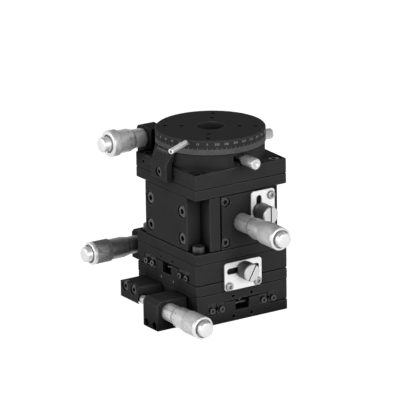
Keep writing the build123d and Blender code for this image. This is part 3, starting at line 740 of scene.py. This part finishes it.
class Screws:
    """All screws and pins of one body as one piece, each placed in mm."""

    def __init__(self, base=None):
        self.parts = []
        self.base = base or Matrix.Identity(4)

    def put(self, shape, at):
        """Adds a shape at a placement in this body's own frame."""
        self.parts.append((moved(shape[0], self.base @ at), shape[1]))

    def screw(self, point, way, head_r, head_h, r, length):
        """A cap screw from its head's underside at point, its head towards way."""
        axis, deg = FACING[way]
        at = Matrix.Translation(point) @ Matrix.Rotation(math.radians(deg), 4, axis)
        c = 0.12 * head_r
        rows = plain([(-length, 0), (-length, r - 0.2), (-length + 0.3, r), (0, r), (0, head_r - 0.05),
                      (0.1, head_r), (head_h - c, head_r), (head_h - 0.25 * c, head_r - 0.6 * c),
                      (head_h, head_r - 1.4 * c)])
        self.put(socket_end(rows, head_r * 0.43, head_h * 0.55), at)

    def pin(self, axis, a, b, p, q, r):
        """A pin with broken ends along an axis from a to b, at p and q on the other two axes."""
        letter, deg, point = {"x": ("Y", 0, (a, p, q)), "y": ("Z", 90, (p, a, q)),
                              "z": ("Y", -90, (p, q, a))}[axis]
        at = Matrix.Translation(point) @ Matrix.Rotation(math.radians(deg), 4, letter)
        h = b - a
        rows = plain([(0, 0), (0, r - 0.15), (0.15, r), (h - 0.15, r), (h, r - 0.15), (h, 0)])
        self.put(turned(rows, 20), at)

    def make(self, tag, body, nodes=(), steel=oxide):
        """Makes the piece, which rides on the body and stands for the nodes."""
        solid(tag, joined(self.parts), Matrix.Identity(4), steel, body, nodes, sharp=28)


def slide_screws(lower, upper, bright, foot_z, corners_too):
    """The rail, block, plate and corner screws of one slide, in its own frame."""
    for sx in (-1, 1):
        end = "x+" if sx > 0 else "x-"
        for s in (-1, 1):
            lower.screw((sx * 18, s * 13.8, 2.7), "z-", *M25, 7.6)
            lower.screw((sx * 29.6, s * 13.8, 8.6), end, *M2, 4.4)
            upper.screw((sx * 18, s * 20.2, 15.5), "z+", *M25, 7.0)
            upper.screw((sx * 29.6, s * 20.2, 8.6), end, *M2, 4.4)
        upper.pin("z", 7.2, 15.9, -23, sx * 2.2, 0.8)
        upper.screw((-14.3 + sx * 4.2, -42.8, 15.0), "y-", 2.75, 2.6, 1.5, 18.2)
        bright.screw((sx * 9.3, 31.0, 2.8), "y+", *M25_LOW, 6.0)
    lower.pin("y", -7.4, 7.4, 26.5, 9.2, 0.8)
    for x in (9.8, 18.0):
        lower.screw((x, -36.5, foot_z), "y-", 2.2, 2.4, 1.25, 12.8)
    if corners_too:
        for x in (-25, 25):
            for y in (-25, 25):
                lower.screw((x, y, 1.9), "z+", *M4, 7.4)
        for s in (-1, 1):
            bright.pin("x", 26.4, 29.7, s * 6.0, 2.9, 0.97)


x_lower = Screws()
x_upper = Screws()
y_upper = Screws()
z_upper = Screws()
x_bright = Screws()
y_bright = Screws(place(0, 0, 18, -90))
z_bright = Screws()
slide_screws(x_lower, x_upper, x_bright, 2.6, False)
x_lower.make("x_base_screws_turned", "x_base", ["x_base_screws"])
x_bright.make("x_plate_screws", "x_base", steel=screw_steel)
x_upper.base = y_bright.base
y_upper.base = y_bright.base
slide_screws(x_upper, y_upper, y_bright, 3.2, True)
x_upper.make("x_carriage_screws_turned", "x_carriage", ["x_carriage_screws"])
y_bright.make("y_plate_screws", "x_carriage", steel=screw_steel)
y_upper.base = Matrix.Identity(4)
for x, y in ((-25, -25), (-25, 25), (25, -25), (25, 25)):
    y_upper.screw((x, y, 42), "z+", 3.5, 4.0, 2.0, 11.0)
    z_upper.screw((x, y, 83.1), "z+", *M4, 9.6)
for x, y in ((-20.5, -10.8), (-20.5, 10.8), (18.0, -4.0), (18.0, 4.0)):
    y_upper.screw((x, y, 40.1), "z-", *M4, 9.0)
for y in (-10.1, 10.1):
    for z in (45.9, 69.1):
        y_upper.screw((26.4, y, z), "x+", *M3, 11.6)
for y in (-7.0, 7.0):
    y_upper.pin("x", -26.5, -21.5, y, 43.6, 0.6)
    z_upper.pin("x", -26.5, -21.5, y, 74.2, 0.6)
y_upper.make("y_carriage_screws_turned", "y_carriage", ["y_carriage_screws"])
for s in (-1, 1):
    for x in (-16, 16):
        for z in (48.5, 64.0):
            z_upper.screw((x, s * 25.7, z), "y+" if s > 0 else "y-", *M4, 11.0)
    for x in (-12, 12):
        z_upper.screw((x, s * 25.4, 74.9), "z+", *M4, 10.6)
    z_upper.screw((-36.85, s * 17, 83.5), "x-", *M4, 13.0)
for z in (51.5, 68.7):
    z_bright.screw((31.0, 18.8, z), "x+", *M25_LOW, 6.0)
z_upper.screw((0, -31.05, 83.8), "y-", *M3, 7.6)
z_upper.make("z_carriage_screws_turned", "z_carriage", ["z_carriage_screws"])
z_bright.make("z_plate_screws", "z_carriage", steel=screw_steel)


# ---- Table graduations --------------------------------------------------
# The side of the round table is engraved with 360 lines and a number every ten
# degrees, clockwise seen from above, filled with white paint.
TABLE_R = 30.5      # radius of the table's side, in mm
ZERO_AT = -36.5     # direction of its zero line at rest, in degrees
HALF_LINE = 0.06    # half the width of a line, in mm
white = filling("white_filling", 0.22)


def round_z(flat, radius_at, angles, lift=0.015):
    """Flat points (v, z) laid on a body turned about Z: (r cos a, r sin a, z) with a = angle + v / r,
    where r is the radius at z plus a small lift."""
    v, z = flat.T
    r = radius_at(z) + lift
    a = angles + v / r
    return np.stack([r * np.cos(a), r * np.sin(a), z], -1)


line = np.arange(360)
high = np.where(line % 10 == 0, 100.4, np.where(line % 5 == 0, 99.9, 99.2))
points, faces = strokes(-HALF_LINE + 0 * line, HALF_LINE, 96.25, high)
angles = np.radians(ZERO_AT - np.repeat(line, 4))
marks = [(round_z(points, lambda z: TABLE_R + 0 * z, angles), faces)]
for i in range(0, 360, 10):
    points, faces = number(str(i), 1.8)
    points = round_z(points + (0, 102.1), lambda z: TABLE_R + 0 * z, math.radians(ZERO_AT - i))
    marks.append((points, faces))
solid("r_table_marks", joined(marks), Matrix.Identity(4), white, "r_table",
      closed=False)


# ---- Vernier graduations ------------------------------------------------
# White filled lines on the sloping top of the vernier tab, on both sides of its
# zero, which subdivide one degree of the table.
line = np.arange(-10, 11)
points, faces = strokes(-HALF_LINE + 0 * line, HALF_LINE, 96.4, np.where(line % 5 == 0, 94.2, 95.2))
angles = np.radians(-90 + np.repeat(line, 4) * 11 / 12)
shape = (round_z(points, lambda z: 34.4 - (z - 90.2) * 0.46, angles), faces)
solid("r_vernier_marks", shape, Matrix.Identity(4), white, "z_carriage", closed=False)


# ---- Stage: floor, light and camera ------------------------------------
# A pale floor under soft light from a wide overhead panel and two sides. What the
# camera and reflections see is a white horizon, darker above; as a light it is dimmer.
def seen_rays(tree):
    """One for the rays that show the floor and the sky, nought for those that carry their light."""
    path = tree.nodes.new("ShaderNodeLightPath")
    bent = math_node(tree, "ADD", path.outputs["Is Glossy Ray"], path.outputs["Is Transmission Ray"])
    return math_node(tree, "ADD", path.outputs["Is Camera Ray"], bent, clamp=True)


floor_mesh = bpy.data.meshes.new("floor")
floor_mesh.from_pydata([(-3, -3, 0), (3, -3, 0), (3, 3, 0), (-3, 3, 0)], [], [(0, 1, 2, 3)])
floor = bpy.data.objects.new("floor", floor_mesh)
floor.location.z = -0.0001
bpy.context.scene.collection.objects.link(floor)
floor_paint = bpy.data.materials.new("floor_paint")
floor_paint.use_nodes = True
tree = floor_paint.node_tree
paper = tree.nodes["Principled BSDF"]
paper.inputs["Base Color"].default_value = (0.8, 0.8, 0.8, 1)
paper.inputs["Roughness"].default_value = 0.9
seen = seen_rays(tree)
glow = tree.nodes.new("ShaderNodeEmission")
glow.inputs["Strength"].default_value = 0.92
shadowed = tree.nodes.new("ShaderNodeBsdfDiffuse")
shadowed.inputs["Color"].default_value = (0.4, 0.4, 0.4, 1)
both = tree.nodes.new("ShaderNodeAddShader")
tree.links.new(glow.outputs[0], both.inputs[0])
tree.links.new(shadowed.outputs[0], both.inputs[1])
choice = tree.nodes.new("ShaderNodeMixShader")
tree.links.new(seen, choice.inputs[0])
tree.links.new(paper.outputs[0], choice.inputs[1])
tree.links.new(both.outputs[0], choice.inputs[2])
tree.links.new(choice.outputs[0], tree.nodes["Material Output"].inputs["Surface"])
floor_mesh.materials.append(floor_paint)
floor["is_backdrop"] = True

world = bpy.data.worlds.new("studio")
bpy.context.scene.world = world
world.use_nodes = True
tree = world.node_tree
back = tree.nodes["Background"]
back.inputs["Color"].default_value = (1, 1, 1, 1)
seen = seen_rays(tree)
sky = tree.nodes.new("ShaderNodeTexCoord")
split = tree.nodes.new("ShaderNodeSeparateXYZ")
tree.links.new(sky.outputs["Generated"], split.inputs[0])
falling = math_node(tree, "MULTIPLY_ADD", split.outputs["Z"], -1.5, 1.45)
ceiling = math_node(tree, "MAXIMUM", math_node(tree, "SMOOTH_MIN", falling, 1.0, 0.1), 0.12)
share = math_node(tree, "MULTIPLY_ADD", seen, 0.68, 0.32)
tree.links.new(math_node(tree, "MULTIPLY", ceiling, share), back.inputs["Strength"])


def panel(name, at, towards, size, power):
    """A soft rectangular light at a point in metres."""
    lamp = bpy.data.lights.new(name, "AREA")
    lamp.shape = "RECTANGLE"
    lamp.size, lamp.size_y = size
    lamp.energy = power
    obj = bpy.data.objects.new(name, lamp)
    obj.location = at
    obj.rotation_euler = (Vector(towards) - Vector(at)).to_track_quat("-Z", "Y").to_euler()
    bpy.context.scene.collection.objects.link(obj)
    return obj


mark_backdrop(panel("overhead", (0.1, -0.1, 1.0), (0, 0, 0.05), (0.9, 0.9), 0.7),
         panel("right", (1.0, -0.1, 0.35), (0, 0, 0.06), (0.7, 0.5), 8.5),
         panel("left", (-0.35, -1.0, 0.35), (0, 0, 0.06), (0.7, 0.5), 6.5))

# The camera stands far off with a long lens: azimuth 57.04, elevation 17.29 and
# a roll of -0.86 degrees, 2.27 m from the middle of the object.
DISTANCE = 2.26917      # in metres
SHIFT_RIGHT = 0.006433  # how far the object's axis lies right of the view's middle, in metres
SHIFT_DOWN = 0.010685   # and how far its middle lies below it
SENSOR = 36             # width of the sensor, in mm
FOCAL = 4093.8 / 400    # focal length in widths of the sensor
azimuth, elevation, roll = (math.radians(v) for v in (57.0384, 17.295, -0.86))
back_dir = Vector((math.sin(azimuth) * math.cos(elevation), -math.cos(azimuth) * math.cos(elevation),
                   math.sin(elevation)))
level = Vector((math.cos(azimuth), math.sin(azimuth), 0))
above = back_dir.cross(level)
right_dir = level * math.cos(roll) + above * math.sin(roll)
up_dir = -level * math.sin(roll) + above * math.cos(roll)
lens = bpy.data.cameras.new("camera")
lens.lens = FOCAL * SENSOR
lens.sensor_width = SENSOR
lens.clip_end = 20
camera = bpy.data.objects.new("camera", lens)
where = Vector((0, 0, 0.05)) + back_dir * DISTANCE - right_dir * SHIFT_RIGHT + up_dir * SHIFT_DOWN
facing = Matrix((right_dir, up_dir, back_dir)).transposed().to_4x4()
camera.matrix_world = Matrix.Translation(where) @ facing
bpy.context.scene.collection.objects.link(camera)
bpy.context.scene.camera = camera
bpy.context.scene.view_settings.view_transform = "Standard"

low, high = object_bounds()
